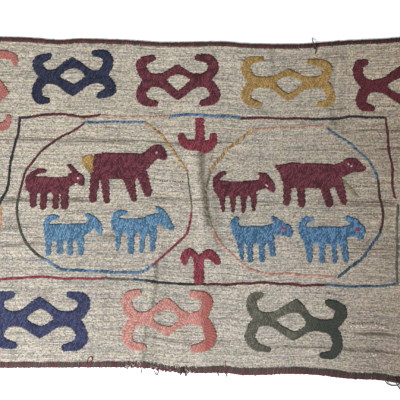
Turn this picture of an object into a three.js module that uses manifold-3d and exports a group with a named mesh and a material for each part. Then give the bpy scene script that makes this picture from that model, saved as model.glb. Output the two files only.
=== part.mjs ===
import * as THREE from "three";
import { mergeVertices } from "three/addons/utils/BufferGeometryUtils.js";
import Module from "manifold-3d";

// A flat-woven wool kilim lying on a floor: one woven ground, with the wrapped figures standing a little
// proud of it, an overcast edge cord along each side, and a few loose yarn ends.
// Millimetres. X runs along the mat, Y to its far edge, Z up from the floor. The tables give places from
// the middle of the field, and the last lines move the whole mat over the origin.

const CLOTH_THICK = 3;
const FIGURE_PROUD = 1.2;
const CORD_WIDE = 12;
const CORD_THICK = 5.4;
const CORD_SIDES = 8;
const CLEARANCE = 0.3;
const YARN_THICK = 2.8;

// How the ground is divided: columns are close together only where a fold crosses them
const COARSE_STEP = 38;
const FINE_STEP = 11;
const ROWS = 13;
const ARC_STEPS = 3;

// How far out the middle of a lozenge's side swells: 0.5 is a straight side
const RING_SWELL = 0.57;

// The outer edges as they lie, and the ends from the near corner (0) to the far corner (1)
const FAR_EDGE = [
  { x: -610, y: 386 },
  { x: -467, y: 382 },
  { x: -400, y: 380 },
  { x: -331, y: 375 },
  { x: -285, y: 378 },
  { x: -162, y: 374 },
  { x: -103, y: 370 },
  { x: 46, y: 371 },
  { x: 91, y: 367 },
  { x: 217, y: 366 },
  { x: 296, y: 372 },
  { x: 410, y: 378 },
  { x: 445, y: 381 },
  { x: 610, y: 389 },
];
const NEAR_EDGE = [
  { x: -610, y: -374 },
  { x: -467, y: -372 },
  { x: -162, y: -371 },
  { x: -125, y: -373 },
  { x: -57, y: -383 },
  { x: 46, y: -384 },
  { x: 91, y: -389 },
  { x: 194, y: -386 },
  { x: 262, y: -389 },
  { x: 331, y: -397 },
  { x: 399, y: -400 },
  { x: 445, y: -407 },
  { x: 610, y: -412 },
];
const ENDS = [
  { x: 0, left: -610, right: 606 },
  { x: 0.5, left: -606, right: 610 },
  { x: 1, left: -592, right: 600 },
];

// Soft folds that never pressed out, each along its line of points
const FOLDS = [
  { high: 5, reach: 34, line: [[-18, 124], [-9, 79], [0, 44], [5, -1], [11, -70]] },
  { high: 2.5, reach: 30, line: [[-11, -202], [-5, -270], [0, -332]] },
  { high: 4, reach: 30, line: [[-109, -131], [-114, -218], [-130, -286], [-141, -366]] },
  { high: 3, reach: 30, line: [[304, 329], [296, 250], [296, 170]] },
];

// Horned border figures: a lozenge ring round a hole, and a horn curling from each corner. Each horn is
// [reach along, rise across, tip along], all from the figure's middle.
const HORNED = [
  {
    x: -298, y: 290, turn: 0, arm: 24,
    ring: { far: 46, near: -44, lean: -4 }, hole: { left: -31, right: 24, far: 20, near: -17 },
    horns: { farLeft: [95, 55, 54], farRight: [89, 62, 43], nearLeft: [97, 62, 58], nearRight: [95, 51, 53] },
  },
  {
    x: -62, y: 282, turn: 0, arm: 24,
    ring: { far: 36, near: -45, lean: 0 }, hole: { left: -25, right: 27, far: 14, near: -24 },
    horns: { farLeft: [95, 59, 54], farRight: [92, 60, 41], nearLeft: [95, 61, 48], nearRight: [96, 60, 52] },
  },
  {
    x: 189, y: 278, turn: 0, arm: 21,
    ring: { far: 31, near: -42, lean: 0 }, hole: { left: -28, right: 33, far: 14, near: -26 },
    horns: { farLeft: [106, 61, 58], farRight: [101, 54, 46], nearLeft: [106, 57, 60], nearRight: [107, 58, 62] },
  },
  {
    x: 449, y: 270, turn: 0, arm: 24,
    ring: { far: 46, near: -44, lean: 0 }, hole: { left: -34, right: 30, far: 18, near: -20 },
    horns: { farLeft: [113, 61, 80], farRight: [108, 60, 60], nearLeft: [106, 60, 66], nearRight: [108, 60, 60] },
  },
  {
    x: -374, y: -261, turn: 0, arm: 28,
    ring: { far: 50, near: -44, lean: -3 }, hole: { left: -32, right: 28, far: 23, near: -17 },
    horns: { farLeft: [112, 65, 61], farRight: [112, 65, 62], nearLeft: [112, 70, 57], nearRight: [107, 75, 50] },
  },
  {
    x: -82, y: -260, turn: 0, arm: 24,
    ring: { far: 49, near: -40, lean: -5 }, hole: { left: -35, right: 20, far: 20, near: -18 },
    horns: { farLeft: [108, 67, 68], farRight: [100, 63, 52], nearLeft: [108, 73, 56], nearRight: [108, 75, 55] },
  },
  {
    x: 206, y: -264, turn: -6, arm: 26,
    ring: { far: 47, near: -42, lean: 3 }, hole: { left: -44, right: 24, far: 22, near: -20 },
    horns: { farLeft: [118, 57, 73], farRight: [116, 57, 63], nearLeft: [115, 78, 55], nearRight: [112, 77, 56] },
  },
  {
    x: -506, y: 258, turn: 90, arm: 23,
    ring: { far: 58, near: -60, lean: -4 }, hole: { left: -30, right: 30, far: 26, near: -26 },
    horns: { farLeft: [92, 64, 58], farRight: [92, 64, 58], nearLeft: [92, 66, 56], nearRight: [94, 81, 62] },
  },
  {
    x: -531, y: 0, turn: 90, arm: 22,
    ring: { far: 45, near: -44, lean: 0 }, hole: { left: -28, right: 28, far: 20, near: -20 },
    horns: { farLeft: [95, 53, 54], farRight: [95, 53, 54], nearLeft: [95, 55, 54], nearRight: [95, 55, 54] },
  },
  {
    x: 518, y: 48, turn: 90, arm: 24,
    ring: { far: 46, near: -46, lean: 0 }, hole: { left: -30, right: 30, far: 20, near: -20 },
    horns: { farLeft: [98, 62, 56], farRight: [98, 62, 56], nearLeft: [98, 60, 56], nearRight: [98, 60, 56] },
  },
  {
    x: 520, y: -220, turn: 90, arm: 24,
    ring: { far: 46, near: -46, lean: 0 }, hole: { left: -30, right: 30, far: 20, near: -20 },
    horns: { farLeft: [100, 60, 56], farRight: [100, 60, 56], nearLeft: [100, 62, 56], nearRight: [100, 62, 56] },
  },
];

// Animals and tulips: strokes of [x, y, width], each tapering from one point to the next
const ANIMALS = {
  left_small_goat: [
    [[-389, 44, 38], [-327, 45, 35]],
    [[-366, 76, 8], [-384, 74, 12], [-398, 60, 18], [-398, 40, 20]],
    [[-391, 33, 17], [-392, 0, 15]],
    [[-366, 33, 16], [-369, -5, 15]],
    [[-339, 33, 15], [-341, -5, 13]],
    [[-320, 33, 18], [-320, -3, 17]],
    [[-324, 52, 28], [-299, 60, 30], [-286, 57, 24], [-280, 46, 13]],
    [[-293, 72, 20], [-310, 88, 10]],
  ],
  left_large_sheep: [
    [[-228, 87, 58], [-164, 86, 57]],
    [[-246, 107, 17], [-144, 106, 17]],
    [[-250, 65, 22], [-256, 12, 16]],
    [[-229, 60, 19], [-224, 9, 14]],
    [[-174, 60, 27], [-162, 12, 12]],
    [[-142, 66, 25], [-130, 27, 20]],
    [[-141, 95, 34], [-123, 111, 30], [-108, 121, 32], [-95, 109, 17]],
    [[-262, 103, 20], [-274, 99, 13], [-264, 86, 14]],
  ],
  left_blue_goat: [
    [[-347, -65, 39], [-294, -64, 39]],
    [[-337, -30, 9], [-349, -30, 13], [-361, -41, 13], [-359, -58, 14]],
    [[-357, -80, 14], [-357, -111, 12]],
    [[-331, -84, 15], [-331, -107, 14]],
    [[-308, -84, 12], [-307, -111, 12]],
    [[-283, -84, 15], [-283, -110, 13]],
    [[-287, -56, 30], [-262, -48, 21], [-249, -42, 24], [-241, -56, 17], [-240, -63, 12]],
    [[-250, -35, 15], [-266, -25, 11]],
  ],
  left_blue_donkey: [
    [[-194, -49, 35], [-128, -49, 35]],
    [[-181, -19, 9], [-197, -21, 14], [-207, -33, 15], [-203, -51, 18]],
    [[-197, -62, 15], [-199, -103, 7]],
    [[-169, -62, 16], [-169, -107, 13]],
    [[-140, -62, 12], [-145, -106, 10]],
    [[-118, -62, 18], [-120, -102, 11]],
    [[-125, -38, 27], [-103, -33, 24], [-88, -42, 20], [-78, -53, 14]],
    [[-110, -9, 8], [-98, -17, 12], [-94, -34, 24]],
  ],
  right_small_goat: [
    [[39, 36, 34], [100, 36, 33]],
    [[43, 71, 8], [30, 63, 14], [25, 49, 15], [31, 33, 20]],
    [[38, 22, 16], [41, -15, 6]],
    [[63, 20, 16], [64, -17, 6]],
    [[88, 20, 15], [87, -17, 7]],
    [[111, 20, 16], [111, -12, 8]],
    [[107, 46, 27], [130, 50, 32], [145, 43, 24], [153, 33, 12]],
    [[137, 61, 20], [126, 69, 10]],
  ],
  right_large_sheep: [
    [[201, 66, 57], [278, 64, 55]],
    [[163, 87, 9], [189, 74, 39]],
    [[187, 46, 18], [186, 5, 16]],
    [[217, 46, 18], [220, 1, 16]],
    [[270, 46, 21], [283, 2, 18]],
    [[303, 50, 23], [315, 9, 14]],
    [[287, 67, 39], [312, 79, 31], [335, 89, 33], [357, 82, 15], [365, 83, 6]],
  ],
  right_blue_goat: [
    [[87, -70, 39], [137, -70, 38]],
    [[72, -35, 12], [67, -44, 18], [72, -63, 21]],
    [[80, -88, 15], [84, -123, 8]],
    [[101, -88, 15], [103, -127, 11]],
    [[129, -88, 14], [130, -126, 14]],
    [[150, -80, 15], [154, -113, 13]],
    [[144, -60, 25], [164, -56, 27], [184, -59, 27], [193, -70, 12]],
    [[171, -44, 17], [154, -31, 8]],
  ],
  right_blue_donkey: [
    [[238, -70, 38], [299, -71, 39]],
    [[244, -34, 9], [230, -36, 14], [221, -50, 18], [228, -67, 25]],
    [[235, -88, 18], [239, -128, 11]],
    [[267, -88, 14], [266, -129, 12]],
    [[293, -88, 13], [296, -129, 10]],
    [[315, -85, 17], [321, -126, 12]],
    [[312, -65, 25], [333, -60, 27], [350, -58, 28], [354, -72, 16]],
    [[342, -42, 18], [324, -32, 11]],
  ],
};
const TULIPS = {
  far: [
    [[-12, 195, 20], [-12, 140, 21]],
    [[-51, 153, 15], [-47, 139, 18], [-32, 135, 24], [-14, 135, 23]],
    [[19, 155, 14], [17, 140, 18], [2, 132, 27], [-14, 135, 23]],
    [[-4, 127, 18], [-2, 125, 17]],
  ],
  near: [
    [[-14, -173, 23], [-14, -133, 23]],
    [[-18, -127, 15], [-25, -115, 14], [-38, -109, 18], [-47, -120, 19], [-47, -133, 11]],
    [[-10, -127, 15], [-2, -117, 17], [10, -114, 22], [22, -123, 19], [29, -132, 13]],
  ],
};

// Loose yarn: a knot, and the strands that leave it. Heights are of the strand's middle over the floor.
const LOOSE_YARN = {
  near_corner_yarn: {
    knot: { x: 429, y: -398, z: 7.8, long: 13, wide: 9, high: 4.2 },
    strands: [
      [[430, -399, 7.4], [435, -406, 7.0], [439, -413, 3.4], [444, -420, 1.8], [452, -433, 1.8]],
      [[432, -399, 7.4], [440, -404, 7.2], [449, -411, 7.0], [456, -419, 3.0], [466, -424, 1.8]],
      [[427, -399, 7.4], [418, -405, 7.0], [416, -413, 3.0], [424, -418, 1.8], [432, -421, 1.8]],
    ],
  },
  far_edge_tuft: {
    knot: { x: 250, y: 359, z: 7.8, long: 8, wide: 13, high: 4.2 },
    strands: [
      [[250, 360, 7.4], [247, 367, 7.2], [245, 373, 4.6], [244, 379, 1.8]],
      [[251, 358, 7.4], [253, 351, 6.6], [251, 344, 5.4]],
    ],
  },
  near_edge_knot: {
    knot: { x: -54, y: -375, z: 7.8, long: 10, wide: 8, high: 4.2 },
    strands: [
      [[-54, -377, 7.4], [-56, -384, 7.2], [-57, -390, 3.6], [-54, -396, 1.8]],
      [[-52, -377, 7.4], [-45, -383, 7.2], [-42, -390, 3.4], [-43, -395, 1.8]],
    ],
  },
};

// The value in column key at x, on a smooth curve through the rows of a table
function smoothAt(table, key, x) {
  let i = 0;
  while (i < table.length - 2 && x > table[i + 1].x) i++;
  const [before, from, to, after] = [-1, 0, 1, 2].map(
    (k) => table[THREE.MathUtils.clamp(i + k, 0, table.length - 1)],
  );
  const span = to.x - from.x;
  const t = THREE.MathUtils.clamp((x - from.x) / span, 0, 1);
  const leave = (span * (to[key] - before[key])) / (to.x - before.x);
  const arrive = (span * (after[key] - from[key])) / (after.x - from.x);
  const turn = t * t * (3 - 2 * t);
  return (
    from[key] * (1 - turn) +
    to[key] * turn +
    leave * t * (1 - t) ** 2 -
    arrive * t * t * (1 - t)
  );
}

const farEdge = (x) => smoothAt(FAR_EDGE, "y", x);
const nearEdge = (x) => smoothAt(NEAR_EDGE, "y", x);

// How far a fold lifts the cloth off the floor at a point
function rise(x, y) {
  const here = new THREE.Vector3(x, y, 0);
  const nearest = new THREE.Vector3();
  return FOLDS.reduce((highest, { high, reach, line }) => {
    for (let i = 1; i < line.length; i++) {
      new THREE.Line3(new THREE.Vector3(...line[i - 1], 0), new THREE.Vector3(...line[i], 0))
        .closestPointToPoint(here, true, nearest);
      const away = Math.min(1, nearest.distanceTo(here) / reach);
      highest = Math.max(highest, high * (1 - away * away) ** 2);
    }
    return highest;
  }, 0);
}

// Fractions of the length where the ground's columns stand
function columnPlaces(from, to) {
  const crossed = (x) =>
    FOLDS.some(({ reach, line }) => {
      const along = line.map(([foldX]) => foldX);
      return x > Math.min(...along) - reach && x < Math.max(...along) + reach;
    });
  const places = [0];
  let x = from;
  while (x < to - COARSE_STEP) {
    x += crossed(x) ? FINE_STEP : COARSE_STEP;
    places.push((x - from) / (to - from));
  }
  places.push(1);
  return places;
}

const INSET = CORD_WIDE + CLEARANCE;
const COLUMNS = columnPlaces(ENDS[0].left + INSET, ENDS[0].right - INSET);

// A point of the ground's outline: u from its left end to its right, v from its near edge to its far one
function groundPoint(u, v) {
  const x = THREE.MathUtils.lerp(
    smoothAt(ENDS, "left", v) + INSET,
    smoothAt(ENDS, "right", v) - INSET,
    u,
  );
  const y = THREE.MathUtils.lerp(nearEdge(x) + INSET, farEdge(x) - INSET, v);
  return { x, y };
}

// A geometry with every vertex moved to where place(x, y, z) says
function reshaped(geometry, place) {
  const position = geometry.attributes.position;
  for (let i = 0; i < position.count; i++) {
    const { x, y, z } = place(position.getX(i), position.getY(i), position.getZ(i));
    position.setXYZ(i, x, y, z);
  }
  return geometry;
}

// The woven ground from underside to top, a closed sheet with the same triangles above and below
function groundSheet(underside, top) {
  const across = COLUMNS.length;
  const above = across * (ROWS + 1);
  const position = [];
  for (const level of [underside, top]) {
    for (let row = 0; row <= ROWS; row++) {
      for (const u of COLUMNS) {
        const { x, y } = groundPoint(u, row / ROWS);
        position.push(x, y, rise(x, y) + level);
      }
    }
  }
  const index = [];
  for (let row = 0; row < ROWS; row++) {
    for (let column = 0; column < across - 1; column++) {
      const a = row * across + column;
      const [b, c, d] = [a + 1, a + 1 + across, a + across];
      index.push(above + a, above + b, above + c, above + a, above + c, above + d);
      index.push(a, c, b, a, d, c);
    }
  }
  const rim = [];
  for (let column = 0; column < across - 1; column++) rim.push(column);
  for (let row = 0; row < ROWS; row++) rim.push(row * across + across - 1);
  for (let column = across - 1; column > 0; column--) rim.push(ROWS * across + column);
  for (let row = ROWS; row > 0; row--) rim.push(row * across);
  rim.forEach((p, i) => {
    const q = rim[(i + 1) % rim.length];
    index.push(p, q, above + q, p, above + q, above + p);
  });
  const geometry = new THREE.BufferGeometry();
  geometry.setAttribute("position", new THREE.Float32BufferAttribute(position, 3));
  geometry.setIndex(index);
  return geometry;
}

const wasm = await Module();
wasm.setup();

function solidOf(geometry) {
  const bare = geometry.clone();
  bare.deleteAttribute("normal");
  bare.deleteAttribute("uv");
  const welded = mergeVertices(bare, 1e-4);
  return new wasm.Manifold(
    new wasm.Mesh({
      numProp: 3,
      vertProperties: new Float32Array(welded.attributes.position.array),
      triVerts: new Uint32Array(welded.index.array),
    }),
  );
}

function geometryOf(solid) {
  const { vertProperties, triVerts } = solid.getMesh();
  const geometry = new THREE.BufferGeometry();
  geometry.setAttribute("position", new THREE.BufferAttribute(vertProperties, 3));
  geometry.setIndex(new THREE.BufferAttribute(triVerts, 1));
  const flat = geometry.toNonIndexed();
  flat.computeVertexNormals();
  return flat;
}

// An upright block of an outline, tall enough to pass right through the cloth
function block(shape) {
  const geometry = new THREE.ExtrudeGeometry(shape, { depth: 40, bevelEnabled: false });
  return solidOf(geometry.translate(0, 0, -10));
}

// One stretch of a stroke: round ends of the widths at its two points
function stretch([fromX, fromY, fromWide], [toX, toY, toWide]) {
  const heading = Math.atan2(toY - fromY, toX - fromX);
  const outline = [];
  for (const [x, y, wide, start] of [[toX, toY, toWide, -0.5], [fromX, fromY, fromWide, 0.5]]) {
    for (let i = 0; i <= ARC_STEPS; i++) {
      const angle = heading + Math.PI * (start + i / ARC_STEPS);
      outline.push(new THREE.Vector2(x + (wide / 2) * Math.cos(angle), y + (wide / 2) * Math.sin(angle)));
    }
  }
  return block(new THREE.Shape(outline));
}

function stroke(points) {
  return points.slice(1).map((point, i) => stretch(points[i], point));
}

// A horned figure, in its own frame with the ring's middle at the origin
function hornedFigure({ x, y, turn, arm, ring, hole, horns }) {
  const corners = [
    [hole.right + arm, 0],
    [ring.lean, ring.far],
    [hole.left - arm, 0],
    [ring.lean, ring.near],
  ];
  const outline = corners.flatMap(([a, b], i) => {
    const [nextA, nextB] = corners[(i + 1) % corners.length];
    return [[a, b], [RING_SWELL * (a + nextA), RING_SWELL * (b + nextB)]];
  });
  const gap = [
    [hole.right, 0],
    [0.4 * hole.right, 0.75 * hole.far],
    [0, hole.far],
    [0.5 * hole.left, 0.7 * hole.far],
    [hole.left, 0],
    [0, hole.near],
  ];
  const lozenge = new THREE.Shape(outline.map(([a, b]) => new THREE.Vector2(a, b)));
  lozenge.holes.push(new THREE.Path(gap.map(([a, b]) => new THREE.Vector2(a, b)).reverse()));
  const sides = { farLeft: [-1, 1], farRight: [1, 1], nearLeft: [-1, -1], nearRight: [1, -1] };
  const strokes = Object.entries(horns).flatMap(([corner, [reach, far, tip]]) => {
    const [along, across] = sides[corner];
    const root = (along < 0 ? -hole.left : hole.right) + 0.55 * arm;
    const curl = [
      [root, 0, arm],
      [reach - 1.15 * arm, 0.1 * far, arm],
      [reach - 0.62 * arm, 0.38 * far, 0.98 * arm],
      [reach - 0.5 * arm, 0.64 * far, 0.98 * arm],
      [tip + 0.55 * (reach - tip), far - 0.44 * arm, 0.86 * arm],
      [tip + 0.25 * arm, far - 0.34 * arm, 0.6 * arm],
    ];
    return stroke(curl.map(([a, b, wide]) => [along * a, across * b, wide]));
  });
  return wasm.Manifold.union([block(lozenge), ...strokes]).rotate([0, 0, turn]).translate([x, y, 0]);
}

// The ground with its wrapped figures raised in its upper face
function ground() {
  const drawn = [...Object.values(ANIMALS), ...Object.values(TULIPS)];
  const figures = wasm.Manifold.union([
    ...HORNED.map(hornedFigure),
    ...drawn.flatMap((strokes) => strokes.flatMap((points) => stroke(points))),
  ]);
  const coat = solidOf(groundSheet(0.5 * CLOTH_THICK, CLOTH_THICK + FIGURE_PROUD));
  const cloth = solidOf(groundSheet(0, CLOTH_THICK));
  return geometryOf(cloth.add(figures.intersect(coat)));
}

// A flat-bottomed oval section: how far across and how high each corner of the cord lies
function cordCorner(angle) {
  const flatten = Math.max(-1, Math.min(1, 1.25 * Math.sin(angle)));
  const half = CORD_WIDE / 2 / Math.cos(Math.PI / CORD_SIDES);
  return { across: half * Math.cos(angle), high: (CORD_THICK / 2) * (1 + flatten) };
}

// The overcast cord on a long edge, from end to end. side is 1 for the far edge and -1 for the near one.
function longCord(edge, side) {
  const v = side > 0 ? 1 : 0;
  const places = [
    smoothAt(ENDS, "left", v),
    ...COLUMNS.map((u) => groundPoint(u, v).x),
    smoothAt(ENDS, "right", v),
  ];
  const steps = places.length - 1;
  const rod = new THREE.CylinderGeometry(1, 1, 1, CORD_SIDES, steps).rotateZ(-Math.PI / 2);
  return reshaped(rod, (x, y, z) => {
    const atX = places[Math.round((x + 0.5) * steps)];
    const { across, high } = cordCorner(Math.atan2(z, y) + Math.PI / CORD_SIDES);
    const centre = Math.hypot(y, z) < 0.5;
    const middle = edge(atX) - (side * CORD_WIDE) / 2;
    const lift = rise(atX, middle);
    return {
      x: atX,
      y: middle + (centre ? 0 : across),
      z: lift + (centre ? CORD_THICK / 2 : high),
    };
  });
}

// The overcast cord on an end, between the two long ones. side is 1 for the right end, -1 for the left.
function endCord(column, side) {
  const rod = new THREE.CylinderGeometry(1, 1, 1, CORD_SIDES, ROWS);
  return reshaped(rod, (x, y, z) => {
    const v = y + 0.5;
    const { across, high } = cordCorner(Math.atan2(z, x) + Math.PI / CORD_SIDES);
    const centre = Math.hypot(x, z) < 0.5;
    const atX = smoothAt(ENDS, column, v) - (side * CORD_WIDE) / 2 + (centre ? 0 : across);
    const atY = THREE.MathUtils.lerp(nearEdge(atX) + INSET, farEdge(atX) - INSET, v);
    return { x: atX, y: atY, z: centre ? CORD_THICK / 2 : high };
  });
}

// A knot with its strands, joined into one piece
function looseYarn({ knot, strands }) {
  const lump = new THREE.SphereGeometry(0.5, 8, 6);
  lump.rotateX(Math.PI / 2).scale(knot.long, knot.wide, knot.high);
  lump.translate(knot.x, knot.y, knot.z);
  const half = YARN_THICK / 2;
  const section = new THREE.Shape([
    new THREE.Vector2(half, 0),
    new THREE.Vector2(0, half),
    new THREE.Vector2(-half, 0),
    new THREE.Vector2(0, -half),
  ]);
  const pieces = strands.map((points) => {
    const extrudePath = new THREE.CatmullRomCurve3(points.map((p) => new THREE.Vector3(...p)));
    return solidOf(new THREE.ExtrudeGeometry(section, { steps: 9, extrudePath }));
  });
  return geometryOf(wasm.Manifold.union([solidOf(lump), ...pieces]));
}

function piece(name, geometry, color) {
  const material = new THREE.MeshStandardMaterial({ color, roughness: 0.92, metalness: 0 });
  const mesh = new THREE.Mesh(geometry, material);
  mesh.name = name;
  return mesh;
}

const WOOL = { ground: 0xbeb4a0, cord: 0x6e4a4c, loose: 0x5a4640 };

const kilim = new THREE.Group();
kilim.add(
  piece("ground_cloth", ground(), WOOL.ground),
  piece("far_edge_cord", longCord(farEdge, 1), WOOL.cord),
  piece("near_edge_cord", longCord(nearEdge, -1), WOOL.cord),
  piece("left_end_cord", endCord("left", -1), WOOL.cord),
  piece("right_end_cord", endCord("right", 1), WOOL.cord),
);
for (const [name, yarn] of Object.entries(LOOSE_YARN)) {
  kilim.add(piece(name, looseYarn(yarn), WOOL.loose));
}

// The origin is under the middle of the mat, on the floor
const extent = new THREE.Box3().setFromObject(kilim);
const middle = extent.getCenter(new THREE.Vector3());
kilim.position.set(-middle.x, -middle.y, -extent.min.z);

export default kilim;
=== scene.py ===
# A flat-woven wool kilim lying on a pale floor, seen from straight above.
# Each section makes one piece or group, in the order in which the mat is put together.
import math

import bpy
import numpy as np
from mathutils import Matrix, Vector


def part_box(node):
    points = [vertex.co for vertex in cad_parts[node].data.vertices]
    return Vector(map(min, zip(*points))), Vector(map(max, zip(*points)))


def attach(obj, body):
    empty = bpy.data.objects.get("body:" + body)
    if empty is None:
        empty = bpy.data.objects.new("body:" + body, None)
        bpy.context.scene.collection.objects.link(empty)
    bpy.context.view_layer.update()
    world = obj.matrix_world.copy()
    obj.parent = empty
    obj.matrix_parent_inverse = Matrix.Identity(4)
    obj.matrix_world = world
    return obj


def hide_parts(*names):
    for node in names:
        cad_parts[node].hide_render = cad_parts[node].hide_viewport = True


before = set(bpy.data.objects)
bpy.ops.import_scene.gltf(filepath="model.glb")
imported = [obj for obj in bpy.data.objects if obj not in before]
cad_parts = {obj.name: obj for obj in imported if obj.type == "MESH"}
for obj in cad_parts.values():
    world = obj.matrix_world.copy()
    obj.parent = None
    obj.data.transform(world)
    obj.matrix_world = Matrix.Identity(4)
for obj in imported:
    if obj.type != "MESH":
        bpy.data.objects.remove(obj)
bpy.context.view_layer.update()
bpy.ops.object.select_all(action="DESELECT")

# The picture: a long lens straight over the middle of the field. Tables below are in millimetres from the
# field's middle, and the solids' own boxes say where that middle lies.
MM = 0.001
LEFT_END_AT_NEAR_CORNER = -610
VIEW_WIDTH = 912
VIEW_MIDDLE = (-11.4, 10.3)
LENS_MM = 120
SENSOR_MM = 36

# The mat's outline: its long edges as (x, y), and its ends as (share of the way from near to far, x)
FAR_EDGE = [
    (-610, 386), (-467, 382), (-400, 380), (-331, 375), (-285, 378), (-162, 374), (-103, 370),
    (46, 371), (91, 367), (217, 366), (296, 372), (410, 378), (445, 381), (610, 389),
]
NEAR_EDGE = [
    (-610, -374), (-467, -372), (-162, -371), (-125, -373), (-57, -383), (46, -384), (91, -389),
    (194, -386), (262, -389), (331, -397), (399, -400), (445, -407), (610, -412),
]
LEFT_END = [(0, -610), (0.5, -606), (1, -592)]
RIGHT_END = [(0, 606), (0.5, 610), (1, 600)]


def smooth_at(rows, at):
    """Follow a smooth curve through rows of (place, value)"""
    places, values = np.array(rows, float).T
    last = len(places) - 1
    order = np.arange(last + 1)
    before, after = np.maximum(order - 1, 0), np.minimum(order + 1, last)
    slope = (values[after] - values[before]) / (places[after] - places[before])
    at = np.clip(at, places[0], places[-1])
    i = np.clip(np.searchsorted(places, at, side="left") - 1, 0, last - 1)
    span = places[i + 1] - places[i]
    t = (at - places[i]) / span
    turn = t * t * (3 - 2 * t)
    ease = span * (slope[i] * t * (1 - t) ** 2 - slope[i + 1] * t * t * (1 - t))
    return values[i] * (1 - turn) + values[i + 1] * turn + ease


right_end_at_far_corner = RIGHT_END[-1][1]
far_reach = float(smooth_at(FAR_EDGE, right_end_at_far_corner))
middle_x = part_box("left_end_cord")[0][0] - LEFT_END_AT_NEAR_CORNER * MM
middle_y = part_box("far_edge_cord")[1][1] - far_reach * MM

view_x = middle_x + VIEW_MIDDLE[0] * MM
view_y = middle_y + VIEW_MIDDLE[1] * MM
view_height = VIEW_WIDTH * MM * LENS_MM / SENSOR_MM
bpy.ops.object.camera_add(location=(view_x, view_y, view_height), rotation=(0, 0, 0))
camera = bpy.context.object
camera.data.lens = LENS_MM
camera.data.sensor_width = SENSOR_MM
bpy.context.scene.camera = camera
bpy.context.scene.view_settings.view_transform = "Standard"

# The ground cloth: one piece of undyed wool, woven flat with the weft packed over the warp, so the wool's
# own mix of beige, grey and brown shows as streaks along the mat. It lies flat but for a few soft folds.
CLOTH_THICK = 3
CORD_WIDE = 12
TUCKED = 4
GROUND_COLUMNS = 244
GROUND_ROWS = 152
GROUND_WIDTH = 771
# Folds and creases: how high each lifts the cloth (below 0 for a trough), how far it reaches, and its line
FOLDS = [
    (5, 34, [(-18, 124), (-9, 79), (0, 44), (5, -1), (11, -70)]),
    (2.5, 30, [(-11, -202), (-5, -270), (0, -332)]),
    (4, 30, [(-109, -131), (-114, -218), (-130, -286), (-141, -366)]),
    (3, 30, [(304, 329), (296, 250), (296, 170)]),
]
CREASES = [
    (1.9, 14, [(-31, 126), (-27, 84), (-20, 44), (-12, 0), (-6, -60), (-3, -92)]),
    (-1.5, 13, [(-9, 124), (-7, 90), (-6, 62), (-1, 36), (3, 8), (5, -18), (11, -42)]),
    (-2.2, 8, [(-4, 50), (-1, 36), (3, 8), (5, -18), (11, -42)]),
    (-0.7, 14, [(11, -42), (21, -66), (36, -94)]),
    (1.0, 12, [(-3, 112), (3, 70), (9, 30), (16, -10), (21, -60)]),
    (0.9, 11, [(-14, -205), (-9, -270), (-4, -330)]),
    (-0.7, 9, [(-2, -205), (4, -270), (8, -330)]),
    (1.1, 12, [(-122, -131), (-129, -218), (-148, -286), (-153, -366)]),
    (-1.0, 7.5, [(-109, -131), (-112, -195), (-116, -216), (-135, -286), (-139, -366)]),
    (1.0, 12, [(312, 329), (304, 250), (303, 170)]),
    (-0.7, 9, [(295, 329), (287, 250), (288, 170)]),
    (-1.3, 7, [(295, 200), (298, 172)]),
    (0.7, 14, [(-236, 372), (-226, 330), (-229, 250)]),
    (0.8, 16, [(388, 236), (400, 150), (402, 60), (408, -60)]),
    (-0.6, 10, [(150, 352), (156, 300), (150, 240)]),
]
# Slight puckers, as long waves: the length, the heading in degrees, the height and where it starts
PUCKERS = [
    (61, 8, 0.13, 0.4), (87, -14, 0.16, 2.1), (128, 74, 0.14, 4.4), (211, 21, 0.17, 1.3),
]


def raised(x, y, lines):
    """How far folds or creases lift the cloth: the most of the ridges, less the most of the troughs"""
    highest = np.zeros(np.broadcast(x, y).shape)
    lowest = highest.copy()
    for high, reach, line in lines:
        for (ax, ay), (bx, by) in zip(line, line[1:]):
            dx, dy = bx - ax, by - ay
            t = np.clip(((x - ax) * dx + (y - ay) * dy) / (dx * dx + dy * dy), 0, 1)
            away = np.minimum(1, np.hypot(x - ax - t * dx, y - ay - t * dy) / reach)
            lift = high * (1 - away**2) ** 2
            highest = np.maximum(highest, lift)
            lowest = np.minimum(lowest, lift)
    return highest + lowest


def rise(x, y):
    """How far the folds lift the cloth off the floor"""
    return raised(x, y, FOLDS)


def cloth_top(x, y):
    """The height of the cloth's upper face, with its folds, creases and slight puckers"""
    height = CLOTH_THICK + np.maximum(0, rise(x, y) + raised(x, y, CREASES))
    for long, degrees, high, start in PUCKERS:
        heading = math.radians(degrees)
        along = x * math.cos(heading) + y * math.sin(heading)
        height = height + high * (1 + np.sin(2 * math.pi * along / long + start))
    return height


def in_frame(x, y, z):
    """Turn places in the field, in millimetres, into metres in the solids' frame"""
    return np.stack([middle_x + x * MM, middle_y + y * MM, z * MM], axis=-1)


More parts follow.
